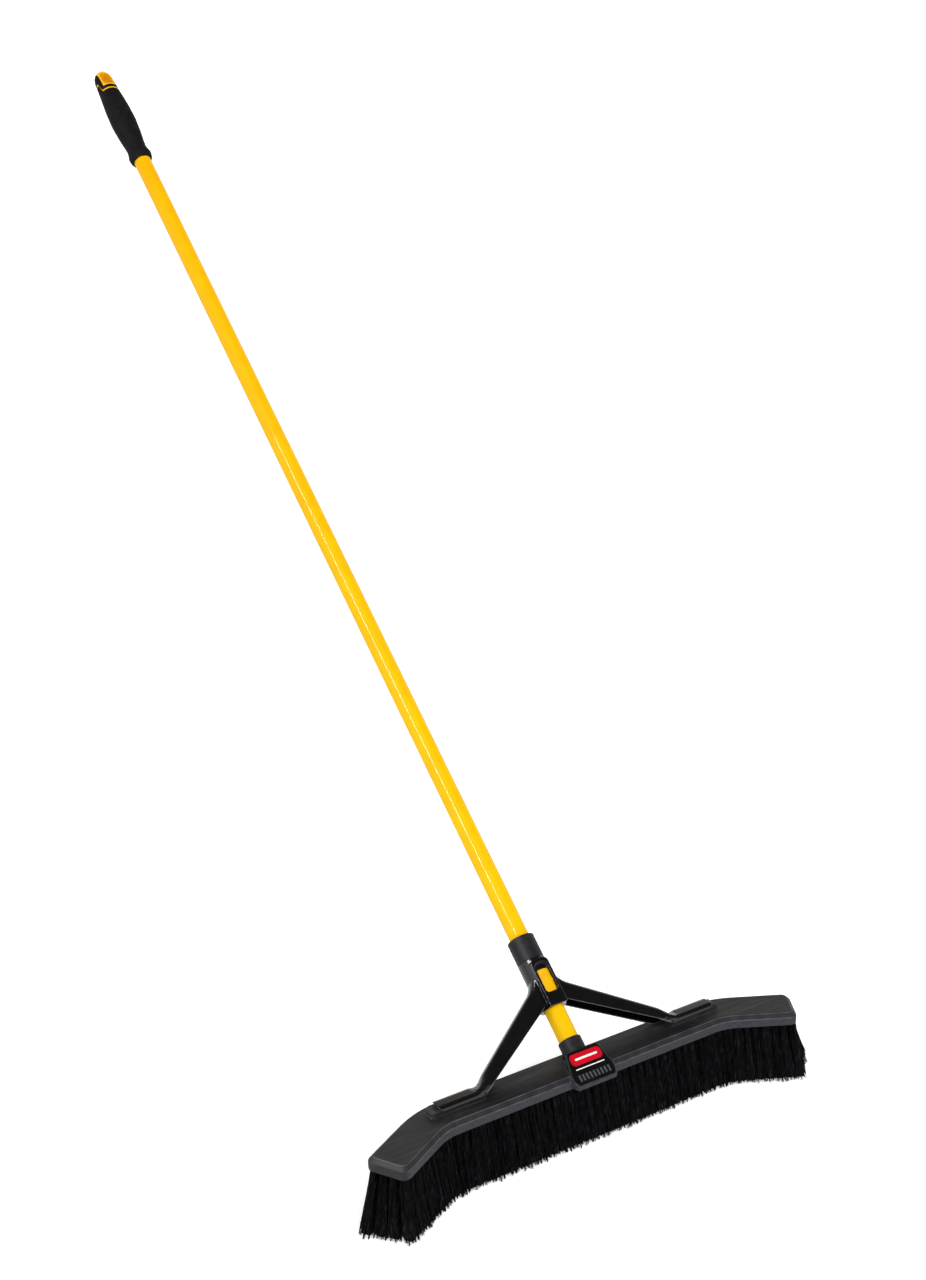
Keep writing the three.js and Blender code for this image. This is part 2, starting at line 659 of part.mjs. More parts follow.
// The yellow flange that shows as the seam, out to the grip's surface.
const seamRing = () => turnedVarying((angle) => {
  const low = seamHeight(angle) - SEAM_HALF;
  const high = seamHeight(angle) + SEAM_HALF;
  return [[SEAM_INNER, low], [gripRadius(low), low], [gripRadius(high), high], [SEAM_INNER, high]];
});

// Everything above the seam, with its lower face parallel to the flange's upper face.
const aboveSeam = () => turnedVarying((angle) => {
  const flange = seamHeight(angle) + SEAM_HALF;
  const low = flange + SEAM_PLAY;
  const floor = [30, gripRadius(flange), SEAM_INNER, 5].map((r) => [r, low]);
  return [...floor, [5, GRIP_TIP + 5], [30, GRIP_TIP + 5]];
});

const slab = (halfWidth, low) => box([-halfWidth, -30, low], [halfWidth, 30, GRIP_TIP + 5]);

function makeCore() {
  const strap = solid(gripEnd(STRAP_LOW)).intersect(solid(slab(STRAP_HALF_WIDTH, STRAP_LOW + GAP)));
  const body = joined(
    rod(POLE_BORE - GAP, POLE_END - SPIGOT_LENGTH, POLE_END + 2),
    rod(POLE_RADIUS, POLE_END + GAP, SEAM_FRONT),
    rod(CORE_RADIUS, SEAM_FRONT - 1, CORE_TOP),
    seamRing(),
  ).add(strap);
  const hole = prismAlongY(roundedOutline(HOLE_HALF_WIDTH, HOLE_LOW, HOLE_HIGH, 2.5, 3), -30, 30);
  return surface(body.subtract(solid(hole)));
}

function makeCap() {
  return surface(solid(gripEnd(SEAM_FRONT))
    .intersect(solid(aboveSeam()))
    .subtract(solid(rod(CORE_RADIUS + GAP, SEAM_FRONT - 5, CORE_TOP + GAP)))
    .subtract(solid(slab(STRAP_HALF_WIDTH + GAP, STRAP_LOW))));
}

function makePole() {
  const latchHole = new THREE.CylinderGeometry(LATCH_HOLE_RADIUS, LATCH_HOLE_RADIUS, 12, 16)
    .translate(0, -POLE_RADIUS, BUTTON_MIDDLE - 10.7);
  return surface(without(solid(tube(POLE_BORE, POLE_RADIUS, POLE_START, POLE_END)), latchHole));
}

function makePlug() {
  return turned([
    [0, SOCKET_SEAT + GAP],
    [POLE_RADIUS, SOCKET_SEAT + GAP],
    [POLE_RADIUS, POLE_START - GAP],
    [POLE_BORE - GAP, POLE_START - GAP],
    [POLE_BORE - GAP, POLE_START + PLUG_LENGTH],
    [0, POLE_START + PLUG_LENGTH],
  ]);
}

function makeSocketSleeve() {
  const chamfer = 1.2;
  return turned([
    [POLE_CLEAR, SOCKET_SEAT + GAP],
    [SLEEVE_RADIUS, SOCKET_SEAT + GAP],
    [SLEEVE_RADIUS, SLEEVE_TOP - chamfer],
    [SLEEVE_RADIUS - chamfer, SLEEVE_TOP],
    [POLE_CLEAR, SLEEVE_TOP],
  ]);
}

// ---- Label --------------------------------------------------------------------------------

const BADGE_HALF_WIDTH = 22;
const BADGE_LOW = 23; // up the slope from the plate's lower edge
const BADGE_HIGH = 37.6;
const BADGE_CORNER = 5;
const BADGE_THICKNESS = 0.7;

function makeLabelPlate() {
  return labelPrism(0, -LABEL_THICKNESS, 0);
}

function makeBadge() {
  const outline = roundedOutline(BADGE_HALF_WIDTH, BADGE_LOW, BADGE_HIGH, BADGE_CORNER, 6);
  const ring = (z) => outline.map(([x, y]) => vec(x, y, z));
  return loft([ring(GAP), ring(GAP + BADGE_THICKNESS)]).applyMatrix4(labelFrame);
}

// ---- Assembly -----------------------------------------------------------------------------

const finish = (color, roughness, metalness = 0) => ({ color, roughness, metalness });
const FOAM_PLASTIC = finish(0x3b3b3d, 0.75);
const GLOSS_BLACK = finish(0x0e0e10, 0.25);
const MATT_GREY = finish(0x35353a, 0.6);
const RUBBER = finish(0x1f1f20, 0.85);
const BRISTLE = finish(0x111112, 0.7);
const YELLOW_COAT = finish(0xf2b800, 0.3);
const YELLOW_PLASTIC = finish(0xf5b900, 0.45);
const LABEL_BLACK = finish(0x08080a, 0.35);
const RED = finish(0xc4001e, 0.4);
const NYLON = finish(0x1a1a1c, 0.5);
const STEEL = finish(0xb5b5b8, 0.35, 0.9);

function named(name, geometry, material) {
  const mesh = new THREE.Mesh(geometry, new THREE.MeshStandardMaterial(material));
  mesh.name = name;
  return mesh;
}

const broom = new THREE.Group();
broom.add(
  named('block', makeBlock(), FOAM_PLASTIC),
  named('brace', makeBrace(), GLOSS_BLACK),
  named('label_plate', makeLabelPlate(), LABEL_BLACK),
  named('label_badge', makeBadge(), RED),
);

ROW_DEPTHS.forEach((_, row) => {
  for (const [place, runs] of Object.entries(tuftLengths(row))) {
    broom.add(named(`tufts_row${row + 1}_${place}`, makeTufts(row, runs), BRISTLE));
  }
});

for (const [side, name] of [[-1, 'left'], [1, 'right']]) {
  SCREW_XS.forEach((x, i) => {
    const screw = named(`foot_screw_${name}_${i + 1}`, makeScrew(), STEEL);
    screw.position.set(side * x, SCREW_Y, 0);
    broom.add(screw);
  });
}

const roundPole = new THREE.Group();
roundPole.position.set(0, POLE_Y, BLOCK_TOP);
roundPole.rotation.x = -POLE_LEAN;
roundPole.add(
  named('socket_sleeve', makeSocketSleeve(), MATT_GREY),
  named('collar', makeCollar(), MATT_GREY),
  named('release_button', makeButton(), YELLOW_PLASTIC),
  named('button_pivot_pin', pivotRod(PIN_RADIUS, PIN_HALF_LENGTH), STEEL),
  named('button_spring', makeSpring(), STEEL),
  named('pole', makePole(), YELLOW_COAT),
  named('pole_end_plug', makePlug(), NYLON),
  named('grip_core', makeCore(), YELLOW_PLASTIC),
  named('grip_sleeve', makeSleeve(), RUBBER),
  named('grip_cap', makeCap(), RUBBER),
);
broom.add(roundPole);

export default broom;
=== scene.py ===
"""Push broom: the looks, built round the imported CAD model.

Metres, in the CAD's frame: the origin is on the floor below the middle of the block's front face,
+X along the block, -Y the side it sweeps towards, +Z up. The pole leans back towards +Y.
"""

import math

import bmesh
import bpy
import numpy as np
from mathutils import Matrix, Vector


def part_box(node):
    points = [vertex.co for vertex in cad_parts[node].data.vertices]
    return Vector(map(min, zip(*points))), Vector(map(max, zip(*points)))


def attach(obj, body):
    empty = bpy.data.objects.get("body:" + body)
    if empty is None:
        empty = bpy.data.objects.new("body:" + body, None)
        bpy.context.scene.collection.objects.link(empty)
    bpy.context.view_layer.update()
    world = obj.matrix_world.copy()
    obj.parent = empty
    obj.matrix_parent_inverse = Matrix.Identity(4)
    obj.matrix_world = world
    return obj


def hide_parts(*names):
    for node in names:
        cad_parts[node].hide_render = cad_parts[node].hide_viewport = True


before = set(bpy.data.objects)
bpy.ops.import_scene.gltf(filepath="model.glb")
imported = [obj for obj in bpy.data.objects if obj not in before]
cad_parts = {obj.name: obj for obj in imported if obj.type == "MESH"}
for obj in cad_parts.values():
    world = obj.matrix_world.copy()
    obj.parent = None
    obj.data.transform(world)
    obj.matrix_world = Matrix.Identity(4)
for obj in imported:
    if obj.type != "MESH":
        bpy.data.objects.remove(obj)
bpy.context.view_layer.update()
rng = np.random.default_rng(24)
MM = 0.001

# ---- Driving dimensions, as in the CAD -----------------------------------------------------

BLOCK_DEPTH = 54 * MM
BRISTLE_LENGTH = 73 * MM
CORNER_X = 202 * MM  # where the front edges of the middle and of a wing would meet
WING_ANGLE = math.radians(29)
FRONT_BEND_RADIUS = 62 * MM
END_RADIUS = 9 * MM  # plan radius of the block's four corners
BEND_START = CORNER_X - FRONT_BEND_RADIUS * math.tan(WING_ANGLE / 2)
BEND_LENGTH = (FRONT_BEND_RADIUS + BLOCK_DEPTH / 2) * WING_ANGLE
ALONG_WING = (math.cos(WING_ANGLE), math.sin(WING_ANGLE), 0)

ROW_DEPTHS = [depth * MM for depth in (8.4, 20.8, 33.2, 45.6)]
DEPTH_SPREAD = 1.5  # how much wider the rows stand at their tips than at their roots
END_SPREAD = 1.3  # the same at the block's ends
FORWARD_LEAN = 5 * MM  # how far the tips stand in front of their roots
END_SPLAY = 7.5 * MM  # how far the end tufts' tips stand outwards, at the front edge
SPLAY_RISE = 0.32  # and how much further for each millimetre behind it
SOCKET_CLEAR_RUN = 21 * MM  # the middle rows stop this far from the centre to pass the pole
MIDDLE_ROWS = (1, 2)

POLE_LEAN = math.radians(48)
BLOCK_TOP = 89 * MM
FASCIA_TOP = 83.5 * MM
POLE_FOOT = Vector((0, 30 * MM, BLOCK_TOP))
POLE_FRAME = Matrix.Translation(POLE_FOOT) @ Matrix.Rotation(-POLE_LEAN, 4, "X")

STRUT_FALL = math.atan(0.686)  # slope of the struts' crowns in the pole's frame
STRUT_CROWN = 109.9 * MM  # along the pole, where the two crown lines would meet
STRUT_DEPTH = 27 * MM  # at the middle
STRUT_TAPER = 0.08  # how much shallower they get for each unit of x
LABEL_FOOT = (0, -10.4 * MM, BLOCK_TOP - 6.8 * MM)  # middle of the plate's lower edge
LABEL_TILT = math.radians(36)
LABEL_FRAME = Matrix.Translation(LABEL_FOOT) @ Matrix.Rotation(LABEL_TILT, 4, "X")


def half_run():
    """The distance along the block from its middle to its end, from the CAD node's width."""
    low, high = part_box("block")
    rounded_off = END_RADIUS * (math.cos(WING_ANGLE) + math.sin(WING_ANGLE) - 1)
    reach = (high.x - low.x) / 2 + rounded_off - BEND_START
    wing = (reach - (FRONT_BEND_RADIUS + BLOCK_DEPTH) * math.sin(WING_ANGLE)) / math.cos(WING_ANGLE)
    return BEND_START + BEND_LENGTH + wing


HALF_RUN = half_run()
# How far the block's ends stand out along the line of a wing.
PAST_BEND = HALF_RUN - BEND_START - BEND_LENGTH
BLOCK_REACH = BEND_START * math.cos(WING_ANGLE) + FRONT_BEND_RADIUS * math.sin(WING_ANGLE) + PAST_BEND


# ---- Meshes --------------------------------------------------------------------------------

def new_piece(name, vertices, faces, body, material):
    """A mesh object that rides on a CAD body and takes its finish from a slot."""
    mesh = bpy.data.meshes.new(name)
    mesh.from_pydata([tuple(v) for v in vertices], [], faces)
    mesh.validate()
    piece = bpy.data.objects.new(name, mesh)
    bpy.context.scene.collection.objects.link(piece)
    return dressed(piece, body, material)


def dressed(piece, body, material):
    """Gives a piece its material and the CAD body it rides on."""
    piece.data.materials.clear()
    piece.data.materials.append(material)
    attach(piece, body)
    return piece


def copy_of(node, name):
    """A copy of a CAD node with its split vertices joined."""
    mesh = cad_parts[node].data.copy()
    mesh.name = name
    work = bmesh.new()
    work.from_mesh(mesh)
    bmesh.ops.remove_doubles(work, verts=work.verts, dist=0.002 * MM)
    work.to_mesh(mesh)
    work.free()
    piece = bpy.data.objects.new(name, mesh)
    bpy.context.scene.collection.objects.link(piece)
    return piece


def settled(piece):
    """Applies the piece's modifiers."""
    bpy.context.view_layer.update()
    graph = bpy.context.evaluated_depsgraph_get()
    mesh = bpy.data.meshes.new_from_object(piece.evaluated_get(graph))
    piece.modifiers.clear()
    piece.data = mesh
    return piece


def softened(piece, voxel, rounding, keep):
    """Rounds every edge and inner corner, as a moulding's are."""
    remesh = piece.modifiers.new("voxels", "REMESH")
    remesh.mode = "VOXEL"
    remesh.voxel_size = voxel
    smooth = piece.modifiers.new("rounding", "SMOOTH")
    smooth.factor = 0.5
    smooth.iterations = rounding
    if keep < 1:
        decimate = piece.modifiers.new("fewer", "DECIMATE")
        decimate.ratio = keep
    settled(piece)
    piece.data.shade_smooth()
    return piece


def smooth_but_for_edges(piece, angle=math.radians(32)):
    """Smooth shading with a crisp line along every edge that turns by more than the angle."""
    work = bmesh.new()
    work.from_mesh(piece.data)
    for face in work.faces:
        face.smooth = True
    for edge in work.edges:
        edge.smooth = len(edge.link_faces) == 2 and edge.calc_face_angle(0) < angle
    work.to_mesh(piece.data)
    work.free()
    return piece


def moulding(node, body, material, voxel, rounding=4, keep=0.3):
    """A visible piece from a CAD node, with a moulding's soft edges."""
    piece = softened(copy_of(node, node + "_looks"), voxel, rounding, keep)
    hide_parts(node)
    return dressed(piece, body, material)


def turned_part(node, body, material, bevel=0.4 * MM):
    """A visible piece from a CAD node, with narrow bevels on its edges."""
    piece = copy_of(node, node + "_looks")
    edges = piece.modifiers.new("edges", "BEVEL")
    edges.width = bevel
    edges.segments = 2
    edges.limit_method = "ANGLE"
    edges.angle_limit = math.radians(40)
    settled(piece)
    smooth_but_for_edges(piece)
    piece.modifiers.new("normals", "WEIGHTED_NORMAL").keep_sharp = True
    settled(piece)
    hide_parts(node)
    return dressed(piece, body, material)


# ---- Materials -----------------------------------------------------------------------------

def srgb(red, green, blue):
    """A colour given as 0 to 255, as a linear one."""
    def linear(value):
        share = value / 255
        return share / 12.92 if share <= 0.04045 else ((share + 0.055) / 1.055) ** 2.4
    return (linear(red), linear(green), linear(blue), 1)


class Finish:
    """A node material under construction."""

    def __init__(self, name, roughness, metallic=0.0, coat=0.0, specular=0.5):
        self.material = bpy.data.materials.new(name)
        self.material.use_nodes = True
        self.tree = self.material.node_tree
        self.shader = self.tree.nodes["Principled BSDF"]
        self.shader.inputs["Roughness"].default_value = roughness
        self.shader.inputs["Metallic"].default_value = metallic
        self.shader.inputs["Coat Weight"].default_value = coat
        self.shader.inputs["Coat Roughness"].default_value = 0.06
        self.shader.inputs["Specular IOR Level"].default_value = specular
        self.place = self.node("ShaderNodeTexCoord").outputs["Object"]

    def node(self, kind, **settings):
        made = self.tree.nodes.new(kind)
        for key, value in settings.items():
            setattr(made, key, value)
        return made

    def link(self, output, target):
        self.tree.links.new(output, target)

    def noise(self, size, detail=3.0, stretch=(1, 1, 1)):
        """Noise from 0 to 1 whose features are about `size` metres, longer where stretched."""
        mapping = self.node("ShaderNodeMapping")
        mapping.inputs["Scale"].default_value = [1 / s for s in stretch]
        self.link(self.place, mapping.inputs["Vector"])
        noise = self.node("ShaderNodeTexNoise")
        noise.inputs["Scale"].default_value = 1 / size
        noise.inputs["Detail"].default_value = detail
        self.link(mapping.outputs["Vector"], noise.inputs["Vector"])
        return noise.outputs["Fac"]

    def ramp(self, factor, stops):
        """Colours along a 0 to 1 factor; stops are (position, colour)."""
        ramp = self.node("ShaderNodeValToRGB")
        elements = ramp.color_ramp.elements
        while len(elements) < len(stops):
            elements.new(0.5)
        for element, (position, colour) in zip(elements, stops):
            element.position = position
            element.color = colour
        self.link(factor, ramp.inputs["Fac"])
        return ramp.outputs["Color"]

    def spread(self, factor, low, high, out_low=0.0, out_high=1.0):
        """A factor's stretch from low to high, mapped to another range."""
        spread = self.node("ShaderNodeMapRange")
        for key, value in (("From Min", low), ("From Max", high), ("To Min", out_low), ("To Max", out_high)):
            spread.inputs[key].default_value = value
        self.link(factor, spread.inputs["Value"])
        return spread.outputs["Result"]

    def mix(self, factor, first, second):
        """The first colour where the factor is 0 and the second where it is 1."""
        mix = self.node("ShaderNodeMix", data_type="RGBA")
        self.link(factor, mix.inputs["Factor"])
        self.link(first, mix.inputs[6])
        self.link(second, mix.inputs[7])
        return mix.outputs[2]

    def blend(self, share, first, second):
        """Two colours mixed in one share everywhere."""
        mix = self.node("ShaderNodeMix", data_type="RGBA")
        mix.inputs["Factor"].default_value = share
        self.link(first, mix.inputs[6])
        self.link(second, mix.inputs[7])
        return mix.outputs[2]

    def product(self, first, second):
        """Two factors multiplied, so that both have to be 1."""
        product = self.node("ShaderNodeMath", operation="MULTIPLY")
        self.link(first, product.inputs[0])
        self.link(second, product.inputs[1])
        return product.outputs["Value"]

    def coordinate(self, axis):
        """One coordinate of the place, in metres."""
        split = self.node("ShaderNodeSeparateXYZ")
        self.link(self.place, split.inputs["Vector"])
        return split.outputs[axis]

    def along(self, direction, low, high):
        """0 to 1 between two distances along a direction, the same on both sides of the middle."""
        either = self.node("ShaderNodeVectorMath", operation="ABSOLUTE")
        self.link(self.place, either.inputs[0])
        distance = self.node("ShaderNodeVectorMath", operation="DOT_PRODUCT")
        distance.inputs[1].default_value = direction
        self.link(either.outputs["Vector"], distance.inputs[0])
        return self.spread(distance.outputs["Value"], low, high)

    def edges(self, low, high):
        """0 on faces and in hollows, 1 along a moulding's rounded outer edges."""
        return self.spread(self.node("ShaderNodeNewGeometry").outputs["Pointiness"], low, high)

    def colour(self, output):
        self.link(output, self.shader.inputs["Base Color"])
        return self

    def roughness(self, factor, low, high):
        """Roughness that wanders between two values with a noise factor."""
        self.link(self.spread(factor, 0.3, 0.7, low, high), self.shader.inputs["Roughness"])
        return self

    def bump(self, height, distance, strength=1.0):
        """Fine relief, `distance` metres deep."""
        bump = self.node("ShaderNodeBump")
        bump.inputs["Distance"].default_value = distance
        bump.inputs["Strength"].default_value = strength
        self.link(height, bump.inputs["Height"])
        self.link(bump.outputs["Normal"], self.shader.inputs["Normal"])
        return self


def block_finish():
    """Dark grey structural foam: a clouded top with faint flow lines and painted shade of the brace on the
    middle's front half; a bevel and end faces darkened as painted shade, painted highlights along the bevel's
    two edges and every rounded outer edge, and a fascia made paler as painted light, slightly blue."""
    finish = Finish("foam_plastic", 0.6, specular=0.2)
    streaks = finish.noise(3.5 * MM, 4, stretch=(16, 1, 1))
    clouds = finish.noise(14 * MM, 5)
    flow = finish.ramp(streaks, [(0.3, srgb(16, 15, 16)), (0.5, srgb(32, 30, 31)), (0.7, srgb(54, 53, 53))])
    mottle = finish.ramp(clouds, [(0.3, srgb(20, 18, 21)), (0.7, srgb(46, 45, 43))])
    # painted shade of the brace above, for the front half of the middle's top
    painted_brace_shade = finish.ramp(streaks, [(0.3, srgb(6, 5, 7)), (0.7, srgb(26, 24, 26))])
    in_front = finish.spread(finish.coordinate("Y"), 30 * MM, 18 * MM)
    central = finish.along((1, 0, 0), BEND_START, BEND_START - 50 * MM)
    top = finish.blend(0.5, flow, mottle)
    # the brace's painted shade goes on the front half of the middle
    top = finish.mix(finish.product(in_front, central), top, painted_brace_shade)
    grain = finish.noise(2.5 * MM, 4)
    # painted light: the fascia's paler tone, as if lit from the front
    fascia = finish.ramp(grain, [(0.3, srgb(33, 32, 37)), (0.7, srgb(52, 51, 58))])
    # painted shade: the darker tone of the bevel band and of the block's end faces
    bevel = finish.ramp(clouds, [(0.3, srgb(22, 21, 23)), (0.7, srgb(37, 36, 39))])
    # painted highlight: the pale tone of the rim lines and of every rounded outer edge
    edge_highlight = finish.ramp(clouds, [(0.3, srgb(56, 55, 60)), (0.7, srgb(84, 83, 89))])
    height = finish.coordinate("Z")
    # painted highlight along the fascia's top rim
    colour = finish.mix(finish.spread(height, FASCIA_TOP - 0.4 * MM, FASCIA_TOP + 0.1 * MM), fascia, edge_highlight)
    # painted shade on the block's end faces
    shaded_end = finish.along(ALONG_WING, BLOCK_REACH - 8 * MM, BLOCK_REACH - 3 * MM)
    colour = finish.mix(shaded_end, colour, bevel)
    # painted shade on the bevel band
    colour = finish.mix(finish.spread(height, FASCIA_TOP + 0.3 * MM, FASCIA_TOP + 0.9 * MM), colour, bevel)
    # painted highlight along the top's edge
    colour = finish.mix(finish.spread(height, BLOCK_TOP - 0.9 * MM, BLOCK_TOP - 0.6 * MM), colour, edge_highlight)
    colour = finish.mix(finish.spread(height, BLOCK_TOP - 0.4 * MM, BLOCK_TOP - 0.15 * MM), colour, top)
    # painted highlights along every rounded outer edge, such as the label boss's rim
    finish.colour(finish.mix(finish.edges(0.54, 0.64), colour, edge_highlight))
    finish.roughness(clouds, 0.5, 0.66)
    return finish.bump(finish.noise(1.1 * MM, 4), 0.1 * MM, 0.5).material


def brace_finish():
    """Gloss black, with painted highlights along its edges and along the lips of the struts' open channels.
    """
    finish = Finish("gloss_black", 0.18, specular=0.45)
    faces = finish.ramp(finish.noise(14 * MM, 3), [(0.3, srgb(3, 3, 4)), (0.7, srgb(7, 6, 8))])
    # painted highlight: the pale tone along the rounded outer edges
    edges = finish.ramp(finish.noise(9 * MM, 3), [(0.3, srgb(46, 45, 51)), (0.7, srgb(88, 86, 95))])
    colour = finish.mix(finish.edges(0.52, 0.6), faces, edges)
    up = Vector((math.sin(STRUT_FALL), *(math.cos(STRUT_FALL) * POLE_FRAME.col[2].yz)))
    lip = STRUT_CROWN * math.cos(STRUT_FALL) - STRUT_DEPTH + up.dot(POLE_FOOT)
    taper = Vector((STRUT_TAPER, 0, 0))
    # painted highlight along the lips of the struts' open channels, clear of the hub
    at_lip = finish.along(up - taper, lip + 1.9 * MM, lip + 1.5 * MM)
    clear_of_hub = finish.along((1, 0, 0), 16 * MM, 20 * MM)
    painted_lip_highlight = finish.ramp(finish.noise(9 * MM, 3), [(0.3, srgb(36, 35, 41)), (0.7, srgb(72, 70, 79))])
    finish.colour(finish.mix(finish.product(at_lip, clear_of_hub), colour, painted_lip_highlight))
    return finish.roughness(finish.noise(30 * MM, 2), 0.15, 0.22).material


def grey_finish():
    """Matt dark grey plastic with a fine moulded grain."""
    finish = Finish("matt_grey", 0.5, specular=0.12)
    finish.colour(finish.ramp(finish.noise(5 * MM, 4), [(0.3, srgb(20, 19, 22)), (0.7, srgb(33, 32, 36))]))
    return finish.bump(finish.noise(0.7 * MM, 3), 0.08 * MM, 0.6).material


def rubber_finish():
    """Soft black grip rubber."""
    finish = Finish("soft_grip", 0.75, specular=0.05)
    finish.colour(finish.ramp(finish.noise(9 * MM, 4), [(0.3, srgb(10, 10, 10)), (0.7, srgb(20, 20, 20))]))
    return finish.bump(finish.noise(0.6 * MM, 2), 0.09 * MM, 0.7).material


def coat_finish():
    """Powder coat: amber yellow, darker towards the top of the pole as painted shade, with a faint orange
    peel under a clear gloss.
    """
    finish = Finish("yellow_coat", 0.5, coat=0.12, specular=0.03)
    shade = finish.noise(40 * MM, 2)
    # painted shade: the colour higher up the pole is darker and more amber than the colour low down
    low = finish.ramp(shade, [(0.3, srgb(218, 169, 0)), (0.7, srgb(223, 176, 0))])
    high = finish.ramp(shade, [(0.3, srgb(214, 156, 0)), (0.7, srgb(219, 164, 0))])
    finish.colour(finish.mix(finish.spread(finish.coordinate("Z"), 0.3, 1.1), low, high))
    finish.roughness(finish.noise(3 * MM, 3), 0.46, 0.56)
    return finish.bump(finish.noise(1.6 * MM, 2), 0.01 * MM, 0.5).material


def yellow_plastic_finish():
    """Satin yellow plastic, a little warmer than the pole's coat."""
    finish = Finish("yellow_plastic", 0.45, specular=0.12)
    finish.colour(finish.ramp(finish.noise(7 * MM, 3), [(0.3, srgb(222, 160, 0)), (0.7, srgb(228, 170, 0))]))
    return finish.bump(finish.noise(0.8 * MM, 2), 0.04 * MM, 0.5).material


def bristle_finish():
    """Black filament: each strand a little different."""
    finish = Finish("filament", 0.5, specular=0.05)
    strand = finish.noise(1.6 * MM, 2, stretch=(1, 1, 14))
    black = finish.ramp(strand, [(0.42, srgb(1, 1, 2)), (0.6, srgb(8, 7, 9)), (0.76, srgb(40, 39, 47))])
    return finish.colour(black).material


def plain_finish(name, low, high, roughness, size=6 * MM, metallic=0.0, specular=0.2):
    """A small piece's finish: one colour that wanders a little, and a fine grain."""
    finish = Finish(name, roughness, metallic, specular=specular)
    finish.colour(finish.ramp(finish.noise(size, 3), [(0.3, low), (0.7, high)]))
    return finish.bump(finish.noise(0.7 * MM, 2), 0.03 * MM, 0.5).material


FOAM = block_finish()
GLOSS = brace_finish()
GREY = grey_finish()
RUBBER = rubber_finish()
COAT = coat_finish()
YELLOW = yellow_plastic_finish()
FILAMENT = bristle_finish()
LABEL_BLACK = plain_finish("label_black", srgb(4, 4, 6), srgb(11, 10, 13), 0.36, specular=0.12)
RED = plain_finish("badge_red", srgb(172, 0, 20), srgb(188, 2, 28), 0.35)
PALE = plain_finish("pale_ink", srgb(215, 210, 206), srgb(232, 228, 224), 0.45)
MARK_GREY = plain_finish("raised_marks", srgb(58, 60, 66), srgb(74, 76, 82), 0.45)
NYLON = plain_finish("nylon", srgb(24, 24, 25), srgb(34, 34, 35), 0.5)
STEEL = plain_finish("zinc_steel", srgb(165, 165, 168), srgb(190, 190, 192), 0.35, 3 * MM, 0.9)


# ---- Bristles ------------------------------------------------------------------------------

TUFT_PITCH = 11 * MM
TUFT_ROOT = (4.6 * MM, 4.2 * MM)  # half sizes along the row and across it
TUFT_TIP = (8.2 * MM, 9.4 * MM)
END_MARGIN = 1.5 * MM  # between the last tufts and the block's ends
CORE_STEPS = ((0, 0.88), (0.3, 0.88), (0.6, 0.88), (0.88, 0.88), (0.95, 0.7))  # height and width shares
STRANDS = 72  # in each tuft
CLUMPS = 11  # the tips of a tuft draw together into this many points
STRAND_RADIUS = 0.42 * MM
STRAND_STEPS = (0, 0.3, 0.6, 0.85, 1)
STRAND_TAPER = (1, 1, 1, 1.1, 0.8)
RAGGED = 3.5 * MM


def on_block(run, depth):
    """The place of a point at distance `run` along the block and `depth` behind its front edge."""
    side, along = np.sign(run), np.abs(run)
    angle = np.clip((along - BEND_START) / BEND_LENGTH, 0, 1) * WING_ANGLE
    past = np.maximum(along - BEND_START - BEND_LENGTH, 0)
    radius = FRONT_BEND_RADIUS + depth
    straight = np.minimum(along, BEND_START)
    x = side * (straight + radius * np.sin(angle) + past * np.cos(angle))
    y = -FRONT_BEND_RADIUS + radius * np.cos(angle) - past * np.sin(angle)
    return x, y


def tuft_runs(row):
    """Where a row's tufts stand: evenly spaced, with alternate rows staggered."""
    end = HALF_RUN - END_MARGIN - TUFT_ROOT[0]
    count = int(2 * end / TUFT_PITCH) + (row % 2)
    runs = np.linspace(-end, end, count)
    if row in MIDDLE_ROWS:
        runs = runs[np.abs(runs) > SOCKET_CLEAR_RUN + TUFT_ROOT[0]]
    return runs


def in_tuft(row, runs, along, across, step):
    """The run and depth of points of a tuft. `along` and `across` are shares of its half sizes."""
    flare = step ** 1.1
    depth = ROW_DEPTHS[row]
    from_middle = depth - BLOCK_DEPTH / 2
    outward = (np.abs(runs) / HALF_RUN) ** 3
    splay = END_SPLAY + SPLAY_RISE * depth
    spread = DEPTH_SPREAD + (END_SPREAD - DEPTH_SPREAD) * outward
    centre_run = runs + np.sign(runs) * splay * outward * flare
    centre_depth = depth + (from_middle * (spread - 1) - FORWARD_LEAN) * flare
    half_run, half_depth = (root + (tip - root) * flare for root, tip in zip(TUFT_ROOT, TUFT_TIP))
    return centre_run + along * half_run, centre_depth + across * half_depth


